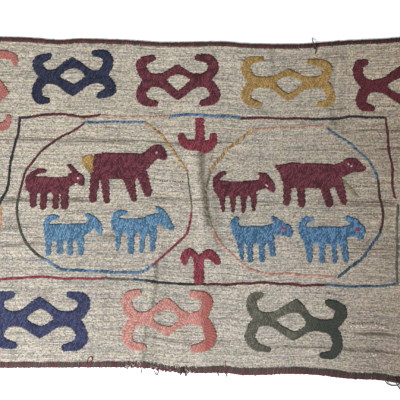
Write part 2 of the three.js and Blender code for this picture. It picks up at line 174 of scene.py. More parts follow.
class Wire:
    """One output of a shader node. Sums on wires add Math nodes."""

    def __init__(self, tree, made=None, output=0):
        self.tree = tree
        self.made = made
        self.output = output

    def out(self, output):
        """Another output of the same node"""
        return Wire(self.tree, self.made, output)

    def node(self, kind, values=None, **settings):
        """Add a node: its settings first, then the values or links of its sockets"""
        made = self.tree.nodes.new("ShaderNode" + kind)
        for setting, value in settings.items():
            setattr(made, setting, value)
        for socket, value in (values or {}).items():
            if isinstance(value, Wire):
                self.tree.links.new(value.made.outputs[value.output], made.inputs[socket])
            else:
                made.inputs[socket].default_value = value
        return Wire(self.tree, made, 2 if kind == "Mix" else 0)

    def maths(self, operation, *values):
        """Do one sum with this value and others"""
        return self.node("Math", dict(enumerate((self, *values))), operation=operation)

    def __add__(self, other):
        return self.maths("ADD", other)

    def __sub__(self, other):
        return self.maths("SUBTRACT", other)

    def __rsub__(self, other):
        return self.node("Math", {0: other, 1: self}, operation="SUBTRACT")

    def __mul__(self, other):
        return self.maths("MULTIPLY", other)

    __radd__, __rmul__ = __add__, __mul__

    def step(self, low, high):
        """Rise softly from 0 at low to 1 at high"""
        values = {0: self, 1: low, 2: high, 3: 0.0, 4: 1.0}
        return self.node("MapRange", values, interpolation_type="SMOOTHSTEP")

    def mix(self, low, high):
        """Blend from the colour low to the colour high by this factor"""
        return self.node("Mix", {0: self, 6: low, 7: high}, data_type="RGBA")

    def tinted(self, factor):
        """Scale this colour by a factor"""
        return self.node("VectorMath", {0: self, "Scale": factor}, operation="SCALE")

    def times(self, *other):
        """Multiply this colour by another, or scale these coordinates by x, y and z"""
        factor = other if len(other) > 1 else other[0]
        return self.node("VectorMath", {0: self, 1: factor}, operation="MULTIPLY")

    def attribute(self, name):
        """The value that the mesh carries under this name"""
        return self.node("Attribute", attribute_name=name).out(2)

    def noise(self, scale, detail, roughness):
        """Noise over these coordinates"""
        values = {"Vector": self, "Scale": scale, "Detail": detail, "Roughness": roughness}
        return self.node("TexNoise", values)

    def fibres(self):
        """Fine fibres over the whole piece"""
        return self.node("TexCoord").out(3).times(1.0, 0.35, 1.0).noise(1500.0, 2.0, 0.6)


WOOL_SHADER = {"Roughness": 0.94, "Specular IOR Level": 0.25, "Sheen Weight": 0.03, "Sheen Roughness": 0.5}


def wool_material(name):
    """A material with a wool's dull, slightly fuzzy shader, and the wire that its nodes start from"""
    material = bpy.data.materials.new(name)
    material.use_nodes = True
    shader = material.node_tree.nodes["Principled BSDF"]
    for socket, value in WOOL_SHADER.items():
        shader.inputs[socket].default_value = value
    return material, Wire(material.node_tree), shader


def finish_wool(wire, shader, colour, height, strength, depth):
    """Join a colour and a height in millimetres to the shader"""
    bump = wire.node("Bump", {"Strength": strength, "Distance": depth * MM, "Height": height})
    wire.tree.links.new(colour.made.outputs[colour.output], shader.inputs["Base Color"])
    wire.tree.links.new(bump.made.outputs[0], shader.inputs["Normal"])


GROUND_LIGHT = (0.365, 0.322, 0.256, 1)
GROUND_MID = (0.272, 0.236, 0.188, 1)
GROUND_GREY = (0.205, 0.196, 0.172, 1)
GROUND_BROWN = (0.085, 0.064, 0.048, 1)
BEAD_LONG = 4.4
BEAD_WIDE = 3.2
# The wool is painted darker and browner toward the right end, as shade where the light falls off, and is
# cooler toward the near edge: from where to where, in metres
RIGHT_SHADE_FROM, RIGHT_SHADE_TO = 0.10, 0.52
RIGHT_SHADE_TINT = (0.74, 0.67, 0.61, 1)
COOL_FROM, COOL_TO = 0.56, 0.20
COOL_TINT = (0.975, 0.995, 1.045, 1)
STAIN_TINT = (1.02, 0.94, 0.81, 1)
WHITE = (1, 1, 1, 1)
LEAST_TINT = (0.93, 0.95, 0.905)
TINT_SPREAD = (0.17, 0.13, 0.22)


def ground_material():
    """Undyed wool: rows of weft beads in the wool's own streaks, with dirt and painted shade in its creases
    """
    material, wire, shader = wool_material("undyed_ground_wool")
    weave = wire.node("UVMap", uv_map="weave")
    along = weave.node("SeparateXYZ", {0: weave})
    beads = weave.node(
        "TexBrick",
        {
            "Vector": weave, "Color1": (0, 0, 0, 1), "Color2": WHITE, "Mortar": (0.3, 0.3, 0.3, 1),
            "Scale": 1000.0, "Mortar Size": 0.48, "Mortar Smooth": 1.0, "Bias": 0.0,
            "Brick Width": BEAD_LONG, "Row Height": BEAD_WIDE,
        },
        offset=0.5,
    )
    gap = beads.out(1)
    long_streak = weave.times(6, 310, 1).noise(1.0, 3.0, 0.5)
    short_streak = weave.times(30, 400, 1).noise(1.0, 2.0, 0.5)
    band = weave.times(5, 62, 1).noise(1.0, 2.0, 0.5)
    fibre = weave.times(700, 1300, 1).noise(1.0, 2.0, 0.6)
    speck = weave.times(300, 280, 1).noise(1.0, 0.0, 0.5).step(0.36, 0.64)
    grey = (band + short_streak * 0.5).step(0.62, 0.92).mix(GROUND_MID, GROUND_GREY)
    colour = (long_streak * 0.75 + short_streak * 0.25).step(0.60, 0.42).mix(grey, GROUND_LIGHT)
    dark = wire.attribute("streaks")
    dirt_and_shade = wire.attribute("dirt_and_shade")
    brown = (weave.times(12, 340, 3).noise(1.0, 3.0, 0.62) + dark * 0.25).step(0.53, 0.71)
    colour = (brown * 0.80).mix(colour, GROUND_BROWN)
    tints = {0: weave.times(40, 90, 1).noise(1.0, 1.0, 0.5).out(1), 1: TINT_SPREAD, 2: LEAST_TINT}
    colour = colour.times(weave.node("VectorMath", tints, operation="MULTIPLY_ADD"))
    # Painted shade: darker and browner toward the right end, where the light falls off
    right_shade = along.step(RIGHT_SHADE_FROM, RIGHT_SHADE_TO).mix(WHITE, RIGHT_SHADE_TINT)
    cool = along.out(1).step(COOL_FROM, COOL_TO).mix(WHITE, COOL_TINT)
    # The ground is painted darker along the creases' troughs, partly as dirt and partly as painted shade, and
    # in the wide darker areas
    level = (0.27 + beads * 0.72 + speck * 0.38 + fibre * 0.36 - gap * 0.16) * (1.0 - dirt_and_shade * 0.56)
    stained = dirt_and_shade.step(0.6, 1.2).mix(WHITE, STAIN_TINT)
    colour = colour.times(right_shade).times(cool).times(stained).tinted(level)
    finish_wool(wire, shader, colour, fibre * 0.3 - gap * 0.8, 0.6, 0.8)
    return material


# Streaks of browner wool: from where to where along the mat, how far across it, half width and darkness
STREAK_FADE = 40
HALF_ACROSS = 380
STREAKS = [
    (-467, 40, 146, 7, 1.0), (-470, -262, 10, 9, 1.0), (-120, 130, 12, 8, 0.7), (130, 325, 4, 9, 0.4),
    (325, 445, 2, 12, 1.0), (-470, -380, -52, 7, 0.9), (-470, -330, -92, 10, 0.7), (-260, -90, -72, 8, 0.6),
    (330, 600, -105, 24, 0.6), (380, 600, 128, 8, 0.8), (300, 600, 168, 7, 0.7), (-467, -430, 212, 4, 0.9),
    (340, 600, -302, 6, 1.0), (100, 520, -330, 6, 0.9), (-150, 60, -312, 6, 0.6), (-467, -160, 300, 6, 0.4),
    (60, 330, 332, 10, 0.4),
]


def streak_darkness(x, y):
    """Where the browner wool was woven in, from 0 to 1"""
    darkness = np.zeros(np.broadcast(x, y).shape)
    for start, stop, at_y, wide, dark in STREAKS:
        middle = (start + stop) / 2
        drift = smooth_at(FAR_EDGE, x) - smooth_at(FAR_EDGE, middle)
        share = (at_y + HALF_ACROSS) / (2 * HALF_ACROSS)
        drift = share * drift + (1 - share) * (smooth_at(NEAR_EDGE, x) - smooth_at(NEAR_EDGE, middle))
        across = np.clip(1 - np.abs(y - at_y - drift) / wide, 0, 1)
        ends = np.clip(np.minimum(x - start, stop - x) / STREAK_FADE + 0.5, 0, 1)
        darkness = np.maximum(darkness, dark * across * ends)
    return darkness


# Wide areas: the middle, the reach each way, and how much darker (below 0 for paler)
SHADED = [
    ((-200, -160), (460, 330), 0.18), ((330, -330), (260, 170), 0.17), ((200, 60), (260, 260), 0.2),
    ((-60, 330), (260, 110), -0.14), ((430, 300), (190, 150), -0.42), ((500, 20), (120, 230), -0.16),
]
# How much each millimetre of trough darkens the cloth, and the most: partly dirt, partly painted shade in the
# crease
CREASE_DARK_PER_MM = 0.72
MOST_CREASE_DARK = 1.15


def dirt_and_painted_shade(x, y):
    """Darkening along the creases' troughs, partly dirt and partly painted shade, and wide areas that are a
    little darker or paler than the rest
    """
    troughs = [crease for crease in CREASES if crease[0] < 0]
    darkening = np.clip(-CREASE_DARK_PER_MM * raised(x, y, troughs), 0, MOST_CREASE_DARK)
    for (at_x, at_y), (reach_x, reach_y), dark in SHADED:
        away = np.minimum(1, ((x - at_x) / reach_x) ** 2 + ((y - at_y) / reach_y) ** 2)
        darkening = darkening + dark * (1 - away) ** 2
    return darkening


bpy.ops.mesh.primitive_grid_add(x_subdivisions=GROUND_COLUMNS, y_subdivisions=GROUND_ROWS, size=1)
ground = bpy.context.object
ground.name = "ground_weave"
mesh = ground.data
unit = np.empty(len(mesh.vertices) * 3)
mesh.vertices.foreach_get("co", unit)
share_x, share_y = unit.reshape(-1, 3)[:, :2].T + 0.5
ends_from = smooth_at(LEFT_END, share_y) + TUCKED
ends_to = smooth_at(RIGHT_END, share_y) - TUCKED
ground_x = ends_from + (ends_to - ends_from) * share_x
near_y = smooth_at(NEAR_EDGE, ground_x) + TUCKED
far_y = smooth_at(FAR_EDGE, ground_x) - TUCKED
ground_y = near_y + (far_y - near_y) * share_y
mesh.vertices.foreach_set("co", in_frame(ground_x, ground_y, cloth_top(ground_x, ground_y)).ravel())
# The browner streaks, and the darkening of the creases' troughs, which is partly dirt and partly painted
# shade
for attribute, painted in (("streaks", streak_darkness), ("dirt_and_shade", dirt_and_painted_shade)):
    mesh.attributes.new(attribute, "FLOAT", "POINT").data.foreach_set("value", painted(ground_x, ground_y))
corner = np.empty(len(mesh.loops), int)
mesh.loops.foreach_get("vertex_index", corner)
mesh.uv_layers[0].name = "weave"
weave_place = np.stack([ground_x * MM, share_y * GROUND_WIDTH * MM], axis=-1)
mesh.uv_layers[0].data.foreach_set("uv", weave_place[corner].ravel())
thick = ground.modifiers.new("thickness", "SOLIDIFY")
thick.thickness = CLOTH_THICK * MM
thick.offset = -1
bpy.ops.object.modifier_apply(modifier=thick.name)
bpy.ops.object.shade_smooth_by_angle(angle=math.radians(50))
mesh.materials.append(ground_material())
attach(ground, "root")
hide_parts("ground_cloth")

# The border figures: horned lozenges of dyed wool, wrapped over the warps in slanting stitches while the
# ground was woven, so they stand a little proud of it. Each is one wool, though some turn to a second shade.
WRAP_WIDE = 2.6
WRAP_LONG = 6.2
WRAP_HIGH = 1.15
WRAP_SUNK = -0.1
WRAP_LEAN = 0.36
SHORTEST = 1.2
OVERLAP = 1.2
EDGE_STEP = 0.4
# How dark the stitches' ends are painted at an outline: painted shade, strongest at the far ends, away from
# the light
FAR_END_SHADE = 1.0
NEAR_END_SHADE = 0.35
RING_POWER = 1.16
RAGGED = 0.35
# Dark stitches past the far ends: partly a real slit between figure and ground, partly painted shadow on the
# side away from the light
SLIT_SHADOW_SHARE = -0.7
SLIT_SHADOW_OUT = 0.7
SLIT_SHADOW_LONG = 1.7
SLIT_SHADOW_WIDE = 2.0
SLIT_SHADOW_DARK = 1.6
SLIT_SHADOW_SUNK = -0.05
FILLET = 15
COLUMN_SHIFT = 0.2
STITCH_FULL = 1.3
STITCH_SWELL = (1.12, 1.3, 1.12)
WIDE_VARIES = (0.94, 1.1)
HIGH_VARIES = (0.88, 1.08)
random = np.random.default_rng(18)

bpy.ops.object.select_all(action="DESELECT")
bpy.ops.mesh.primitive_uv_sphere_add(segments=6, ring_count=3, radius=1, rotation=(math.pi / 2, 0, 0))
bpy.ops.object.transform_apply(rotation=True)
stitch = bpy.context.object
for point in stitch.data.vertices:
    if abs(point.co.y) < 0.9:
        point.co = [value * swell for value, swell in zip(point.co, STITCH_SWELL)]
STITCH_POINTS = np.array([point.co[:] for point in stitch.data.vertices])
STITCH_FACES = np.array([face.vertices[:] if len(face.vertices) == 4 else (*face.vertices, -1)
                         for face in stitch.data.polygons])
bpy.data.objects.remove(stitch)


def joined(name, points, faces, **spread):
    """Join copies of one shape. points is (copies, points, 3); each spread value is for a copy or a point."""
    copies, count = points.shape[:2]
    mesh = bpy.data.meshes.new(name)
    moved = np.where(faces < 0, -1, faces + count * np.arange(copies)[:, None, None])
    corners = [[c for c in face if c >= 0] for face in moved.reshape(-1, faces.shape[1]).tolist()]
    mesh.from_pydata(points.reshape(-1, 3).tolist(), [], corners)
    mesh.polygons.foreach_set("use_smooth", np.ones(len(mesh.polygons), bool))
    for attribute, values in spread.items():
        values = np.broadcast_to(np.reshape(values, (copies, -1)), (copies, count))
        mesh.attributes.new(attribute, "FLOAT", "POINT").data.foreach_set("value", values.ravel())
    piece = bpy.data.objects.new(name, mesh)
    bpy.context.collection.objects.link(piece)
    return piece


def swung(x, y, heading, along, across):
    """Places along and to the right of each (x, y), where along is turned to its heading"""
    turn_x, turn_y = np.cos(heading)[:, None], np.sin(heading)[:, None]
    return x[:, None] + along * turn_x + across * turn_y, y[:, None] + along * turn_y - across * turn_x


def lay_stitches(name, x, y, heading, long, wide, ends=None, proud=0.0, turned=0.0):
    """Lay a stitch at each place, with its length along heading, and sink it into the cloth's upper face"""
    copies = len(x)
    long = np.broadcast_to(long, copies) / 2
    wide = np.broadcast_to(wide, copies) / 2 * random.uniform(*WIDE_VARIES, copies)
    high = WRAP_HIGH * random.uniform(*HIGH_VARIES, copies)
    across = STITCH_POINTS[None, :, 0] * wide[:, None]
    along = STITCH_POINTS[None, :, 1] * long[:, None]
    up = STITCH_POINTS[None, :, 2] * high[:, None]
    at_x, at_y = swung(x, y, heading, along, across)
    at_z = cloth_top(at_x, at_y) - WRAP_SUNK + np.broadcast_to(proud, copies)[:, None] + up
    # Painted shade at the stitches' ends along the outline, strongest at the far ends; the dark slit stitches
    # take it whole
    rim = np.zeros_like(at_x)
    if ends is not None:
        share = np.clip(np.abs(STITCH_POINTS[None, :, 1]) * 2 - 1, 0, 1)
        whole = ends.min(axis=1, keepdims=True) > 1
        far, near = ends[:, :1] * FAR_END_SHADE, ends[:, 1:] * NEAR_END_SHADE
        rim = np.where(whole, ends[:, :1], share * np.where(STITCH_POINTS[None, :, 1] > 0, far, near))
    tone = random.uniform(-1, 1, copies)
    turned = np.broadcast_to(turned, copies)
    return joined(name, in_frame(at_x, at_y, at_z), STITCH_FACES, tone=tone, rim=rim, turned=turned)


def wrapped_figure(name, outside, box, fade):
    """Fill the shape where outside(x, y) is below 0 with slanting columns of stitches, cut to its outline.
    fade is how its wool turns to its second shade: 0 for along the mat or 1 for across it, where from, where
    to, and how much. Past most of the far ends lies a row of dark stitches: partly a real slit, partly
    painted shadow on the side away from the light."""
    left, near, right, far = box
    rows = np.arange(near, far, EDGE_STEP)
    starts = np.arange(left - WRAP_LEAN * far - WRAP_WIDE, right - WRAP_LEAN * near + WRAP_WIDE, WRAP_WIDE)
    stepped = starts + np.where(np.arange(len(starts)) % 2, -COLUMN_SHIFT, COLUMN_SHIFT) * WRAP_WIDE
    ragged = rows + random.normal(0, RAGGED, (len(starts), 1))
    filled = outside(stepped[:, None] + WRAP_LEAN * rows, ragged) < 0
    places, ends = [], []
    for column, (start, inside) in enumerate(zip(starts, filled)):
        turns = np.flatnonzero(np.diff(np.concatenate([[False], inside, [False]]).astype(int)))
        for low, high in zip(rows[turns[::2]], rows[turns[1::2] - 1]):
            if high - low < SHORTEST:
                continue
            count = max(1, round((high - low) / WRAP_LONG))
            cuts = np.linspace(low, high, count + 1)
            cuts[1:-1] += (column % 2 - 0.5) * 0.5 * (high - low) / count
            for i in range(count):
                places.append((start, cuts[i], cuts[i + 1]))
                ends.append((i == count - 1, i == 0))
    start, low, high = np.array(places).T
    ends = np.array(ends, float)
    y = (low + high) / 2
    x = start + WRAP_LEAN * y
    stitches = np.stack([
        x, y, np.full(len(x), math.atan2(1, WRAP_LEAN)), (high - low) * math.hypot(1, WRAP_LEAN) + OVERLAP,
        np.full(len(x), WRAP_WIDE * STITCH_FULL), ends[:, 0], ends[:, 1], np.zeros(len(x)),
    ])
    # Dark stitches past the far ends: partly a real slit, partly painted shadow on the side away from the
    # light
    slit_shadow_x, slit_shadow_y = start + WRAP_LEAN * high, high + SLIT_SHADOW_OUT
    patches = np.sin(slit_shadow_x / 31 + slit_shadow_y / 17) + np.sin(slit_shadow_x / 11 - slit_shadow_y / 29)
    shown = (ends[:, 0] > 0) & (patches > SLIT_SHADOW_SHARE)
    slit_shadow_x, slit_shadow_y = slit_shadow_x[shown], slit_shadow_y[shown]
    flat = np.zeros(len(slit_shadow_x))
    slit_shadows = np.stack([slit_shadow_x, slit_shadow_y, flat, flat + WRAP_WIDE * SLIT_SHADOW_LONG, flat + SLIT_SHADOW_WIDE, flat + SLIT_SHADOW_DARK,
                      flat + SLIT_SHADOW_DARK, flat + SLIT_SHADOW_SUNK])
    x, y, heading, long, wide, far_end, near_end, proud = np.concatenate([stitches, slit_shadows], axis=1)
    axis, fade_from, fade_to, amount = fade
    turned = amount * np.clip(((y if axis else x) - fade_from) / (fade_to - fade_from), 0, 1)
    ends = np.stack([far_end, near_end], axis=-1)
    return lay_stitches(name, x, y, heading, long, wide, ends, proud, turned)


def off_stroke(x, y, points):
    """How far places lie outside a stroke that tapers between its points of (x, y, width)"""
    nearest = np.full(np.broadcast(x, y).shape, np.inf)
    for (ax, ay, a_wide), (bx, by, b_wide) in zip(points, points[1:]):
        dx, dy = bx - ax, by - ay
        t = np.clip(((x - ax) * dx + (y - ay) * dy) / (dx * dx + dy * dy), 0, 1)
        away = np.hypot(x - ax - t * dx, y - ay - t * dy) - (a_wide + t * (b_wide - a_wide)) / 2
        nearest = np.minimum(nearest, away)
    return nearest


def off_lozenge(a, b, left, right, far, near, power):
    """Roughly how far places lie outside a lozenge with slightly swelling sides"""
    wide = np.where(a < 0, -left, right)
    high = np.where(b < 0, -near, far)
    share = ((np.abs(a) / wide) ** power + (np.abs(b) / high) ** power) ** (1 / power)
    return (share - 1) * wide * high / np.hypot(wide, high)


def filleted(one, other, fillet):
    """Join two shapes, given as distances outside them, with a fillet in the corners between them"""
    blend = np.clip(0.5 + 0.5 * (other - one) / fillet, 0, 1)
    return other * (1 - blend) + one * blend - fillet * blend * (1 - blend)


def along_route(points, pitch):
    """Places every pitch along a smooth route through points: x, y and any more columns, and the heading"""
    points = np.array(points, float)
    chord = np.concatenate([[0], np.cumsum(np.linalg.norm(np.diff(points, axis=0), axis=1))])
    fine = np.linspace(0, chord[-1], max(2, int(chord[-1])))
    route = np.stack([smooth_at(np.stack([chord, column], axis=-1), fine) for column in points.T], axis=-1)
    reached = np.concatenate([[0], np.cumsum(np.linalg.norm(np.diff(route, axis=0), axis=1))])
    at = np.linspace(0, reached[-1], max(2, round(reached[-1] / pitch) + 1))
    route = np.stack([np.interp(at, reached, column) for column in route.T], axis=-1)
    heading = np.arctan2(np.gradient(route[:, 1]), np.gradient(route[:, 0]))
    return route, heading, at


def horned_figure(row):
    """The outline of a horned figure, and its box"""
    arm, hole = row["arm"], row["hole"]
    ring_far, ring_near, ring_lean = row["ring"]
    left, right = hole[0] - arm, hole[1] + arm
    far_power, near_power = row.get("powers", HOLE_POWERS)
    horns = []
    for (side_a, side_b), (reach, far, tip, hook, *share) in zip(CORNERS, row["horns"]):
        thick = share[0] * arm if share else arm
        root = (-hole[0] if side_a < 0 else hole[1]) + 0.55 * arm
        curl = [
            (root, 0, arm),
            (reach - 1.15 * arm, 0.1 * far, arm),
            (reach - 0.60 * thick, 0.36 * far, 0.98 * thick),
            (reach - 0.50 * thick, 0.60 * far, 0.98 * thick),
            (tip + 0.55 * (reach - tip), far - (0.66 - 0.22 * hook) * arm, 0.86 * thick),
            (tip + 0.16 * arm, far - 0.34 * arm, row.get("tip_wide", 0.56) * thick),
        ]
        route = along_route(curl, 4)[0]
        horns.append([(side_a * a, side_b * b, wide) for a, b, wide in route])
    turn = math.radians(row.get("turn", 0))
    at_x, at_y = row["at"]

    def outside(x, y):
        dx, dy = x - at_x, y - at_y
        a = dx * math.cos(turn) + dy * math.sin(turn)
        b = dy * math.cos(turn) - dx * math.sin(turn)
        lean = ring_lean * np.abs(b) / ring_far
        body = off_lozenge(a - lean, b, left, right, ring_far, ring_near, RING_POWER)
        horned = np.minimum.reduce([off_stroke(a, b, horn) for horn in horns])
        gap = np.where(b > 0, off_lozenge(a, b, *hole, far_power), off_lozenge(a, b, *hole, near_power))
        return np.maximum(filleted(body, horned, FILLET), -gap)

    reach = max(max(horn[:2]) for horn in row["horns"]) + 8
    return outside, (at_x - reach, at_y - reach, at_x + reach, at_y + reach)


# Each figure has its middle, the thickness of its arms, the ring's far and near points and its lean, and the
# hole's left, right, far and near points. Its horns are the far left, far right, near left and near right
# ones: the reach along, the rise across, where the tip is, how much it hooks, and for some a fifth value,
# their thickness as a share of the arm's.
CORNERS = [(-1, 1), (1, 1), (-1, -1), (1, -1)]
HOLE_POWERS = (1.4, 1.3)
NO_FADE = (0, 0, 1, 0)
HORNED = {
    "far_navy": {
        "wool": "navy", "at": (-298, 290), "arm": 24, "ring": (46, -44, -4), "hole": (-31, 24, 20, -17),
        "powers": (1.7, 1.1),
        "horns": [(95, 55, 54, 0.1), (89, 62, 43, 0.9), (97, 62, 58, 0.9), (95, 51, 53, 0.1)],
    },
    "far_maroon": {
        "wool": "maroon", "at": (-62, 282), "arm": 24, "ring": (36, -45, 0), "hole": (-25, 27, 14, -24),
        "powers": (1.6, 1.15),
        "horns": [(95, 59, 54, 0.1), (92, 60, 41, 0.8), (95, 61, 48, 0.5), (96, 60, 52, 0.2)],
    },
    "far_gold": {
        "wool": "gold", "at": (189, 278), "arm": 21, "ring": (31, -42, 0), "hole": (-28, 33, 14, -26),
        "horns": [(106, 61, 58, 0.6), (101, 54, 46, 0.6), (106, 57, 60, 0.6), (107, 58, 68, 0.6)],
    },
    "far_right_maroon": {
        "wool": "deep_maroon", "at": (449, 270), "arm": 24, "ring": (46, -44, 0), "hole": (-34, 30, 18, -20),
        "horns": [(113, 61, 80, 0.5), (108, 60, 60, 0.5), (106, 60, 66, 0.5), (108, 60, 60, 0.5)],
    },
    "near_navy": {
        "wool": "violet_navy", "at": (-374, -261), "arm": 28, "ring": (50, -44, -3),
        "hole": (-32, 28, 23, -17),
        "horns": [(112, 65, 61, 0.5), (112, 65, 62, 0.5), (112, 70, 57, 0.5), (107, 75, 50, 0.5)],
    },
    "near_salmon": {
        "wool": "salmon", "at": (-82, -260), "fade": (0, -28, 6, 1.0), "tip_wide": 0.68, "arm": 24,
        "ring": (49, -40, -5), "hole": (-35, 20, 20, -18), "powers": (1.7, 1.6),
        "horns": [(108, 67, 68, 0.2), (100, 64, 51, 0.3, 1.1), (108, 73, 56, 0.7), (108, 77, 54, 0.1, 1.15)],
    },
    "near_green": {
        "wool": "green", "at": (206, -269), "turn": -6.5, "fade": (0, 196, 258, 0.9), "arm": 24,
        "ring": (53, -42, -2), "hole": (-44, 24, 23, -21),
        "horns": [(117, 62, 82, 0.1), (114, 61, 66, 0.1, 1.18), (112, 76, 51, 0.5), (112, 76, 66, 0.5)],
    },
    "left_upper_salmon": {
        "wool": "salmon", "at": (-506, 258), "turn": 90, "fade": (0, -2000, -1000, 0.7), "arm": 20,
        "ring": (58, -60, -4), "hole": (-27, 44, 26, -26),
        "horns": [(92, 64, 58, 0.6), (92, 64, 58, 0.6), (92, 66, 56, 0.3), (93, 81, 60, 0.3)],
    },
    "left_lower_maroon": {
        "wool": "maroon", "at": (-531, 0), "turn": 90, "arm": 22, "ring": (45, -44, 0),
        "hole": (-28, 28, 20, -20),
        "horns": [(95, 53, 54, 0.5)] * 2 + [(95, 55, 54, 0.5)] * 2,
    },
    "right_upper_gold": {
        "wool": "gold", "at": (518, 48), "turn": 90, "arm": 24, "ring": (46, -46, 0),
        "hole": (-30, 30, 20, -20),
        "horns": [(98, 62, 56, 0.5)] * 2 + [(98, 60, 56, 0.5)] * 2,
    },
    "right_lower_navy": {
        "wool": "navy", "at": (520, -220), "turn": 90, "arm": 24, "ring": (46, -46, 0),
        "hole": (-30, 30, 20, -20),
        "horns": [(100, 60, 56, 0.5)] * 2 + [(100, 62, 56, 0.5)] * 2,
    },
}

# Each dyed wool: its slot, its main colour, the paler one that it varies to, and for some how
# much the stitches vary and a second shade
WOOLS = {
    "navy": ("navy_wool", (0.0072, 0.0094, 0.022), (0.02, 0.024, 0.047), 0.5, (0.01, 0.012, 0.025)),
    "violet_navy": ("navy_wool", (0.015, 0.018, 0.045), (0.036, 0.041, 0.088), 0.5, (0.012, 0.014, 0.032)),
    "maroon": ("maroon_wool", (0.044, 0.0085, 0.013), (0.105, 0.024, 0.034), 0.45, (0.04, 0.013, 0.014)),
    "gold": ("gold_wool", (0.172, 0.104, 0.032), (0.262, 0.166, 0.06), 0.3, (0.15, 0.09, 0.03)),
    "salmon": ("salmon_wool", (0.27, 0.116, 0.1), (0.349, 0.18, 0.152), 0.3, (0.235, 0.072, 0.062)),
    "green": ("green_wool", (0.046, 0.046, 0.035), (0.095, 0.09, 0.068), 0.3, (0.022, 0.026, 0.021)),
    "blue": ("blue_wool", (0.036, 0.084, 0.138), (0.085, 0.165, 0.25), 0.5, (0.038, 0.078, 0.12)),
    "crimson": ("crimson_wool", (0.092, 0.012, 0.02), (0.165, 0.032, 0.046), 0.45, (0.06, 0.01, 0.016)),
    "strong_blue": ("blue_wool", (0.026, 0.066, 0.12), (0.07, 0.142, 0.225), 0.6, (0.034, 0.072, 0.114)),
    "red": ("crimson_wool", (0.15, 0.022, 0.04), (0.24, 0.06, 0.08), 0.6),
    "line_blue": ("blue_wool", (0.02, 0.045, 0.085), (0.085, 0.15, 0.225), 0.5),
    "deep_blue": ("blue_wool", (0.013, 0.023, 0.041), (0.04, 0.071, 0.108), 0.5),
    "black": ("navy_wool", (0.006, 0.006, 0.008), (0.022, 0.019, 0.022)),
    "umber": ("maroon_wool", (0.014, 0.0065, 0.0075), (0.046, 0.016, 0.017)),
    "deep_maroon": ("maroon_wool", (0.046, 0.0075, 0.011), (0.082, 0.015, 0.021)),
    "dark_maroon": ("maroon_wool", (0.028, 0.006, 0.008), (0.078, 0.016, 0.021)),
    "dark_green": ("green_wool", (0.019, 0.022, 0.016), (0.052, 0.054, 0.04), 0.5),
    "faded_olive": ("green_wool", (0.09, 0.072, 0.043), (0.175, 0.145, 0.09)),
    "grey_blue": ("blue_wool", (0.024, 0.041, 0.061), (0.075, 0.12, 0.16), 0.7),
    "pale": ("ground_wool", (0.2, 0.14, 0.135), (0.36, 0.275, 0.262), 0.5),
    "peach": ("salmon_wool", (0.25, 0.125, 0.07), (0.36, 0.215, 0.125), 0.5),
    "olive": ("green_wool", (0.045, 0.04, 0.028), (0.14, 0.12, 0.08), 0.5),
    "old_gold": ("gold_wool", (0.14, 0.08, 0.036), (0.32, 0.21, 0.092), 0.7),
    "faded_salmon": ("salmon_wool", (0.23, 0.105, 0.08), (0.33, 0.215, 0.165), 0.6),
    "white": ("ground_wool", (0.3, 0.255, 0.215), (0.52, 0.47, 0.41), 0.5),
    "brown": ("loose_wool", (0.02, 0.013, 0.012), (0.06, 0.036, 0.03)),
}


def dyed_wool(name, main, shade, mottle=0.3, second=None):
    """Dyed yarn: each stitch takes more or less of the paler shade, and its ends at an edge are painted
    darker, as shade, most at the far ends away from the light
    """
    material, wire, shader = wool_material(name)
    tone = wire.attribute("tone")
    rim = wire.attribute("rim")
    turned = wire.attribute("turned")
    blotch = wire.node("TexCoord").out(3).noise(55.0, 2.0, 0.6)
    fibre = wire.fibres()
    colour = (blotch * 1.2 + tone * mottle + fibre * 0.5).step(0.35, 1.35).mix((*main, 1), (*shade, 1))
    colour = turned.mix(colour, (*(second or main), 1))
    # Painted shade: a stitch's ends at an outline go darker, most at the far ends
    level = (0.86 - rim * 0.45 + tone * 0.17 + fibre * 0.34).maths("MAXIMUM", 0.12)
    finish_wool(wire, shader, colour.tinted(level), fibre, 0.35, 0.3)
    return material


wool_materials = {name: dyed_wool(name + "_yarn", *shades) for name, (slot, *shades) in WOOLS.items()}


def fix(piece, material):
    """Give a piece its material, and fix it to the mat"""
    piece.data.materials.append(material)
    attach(piece, "root")


def dress(piece, wool):
    """Fix a piece of dyed wool to the mat"""
    fix(piece, wool_materials[wool])


for name, row in HORNED.items():
    dress(wrapped_figure("figure_" + name, *horned_figure(row), row.get("fade", NO_FADE)), row["wool"])

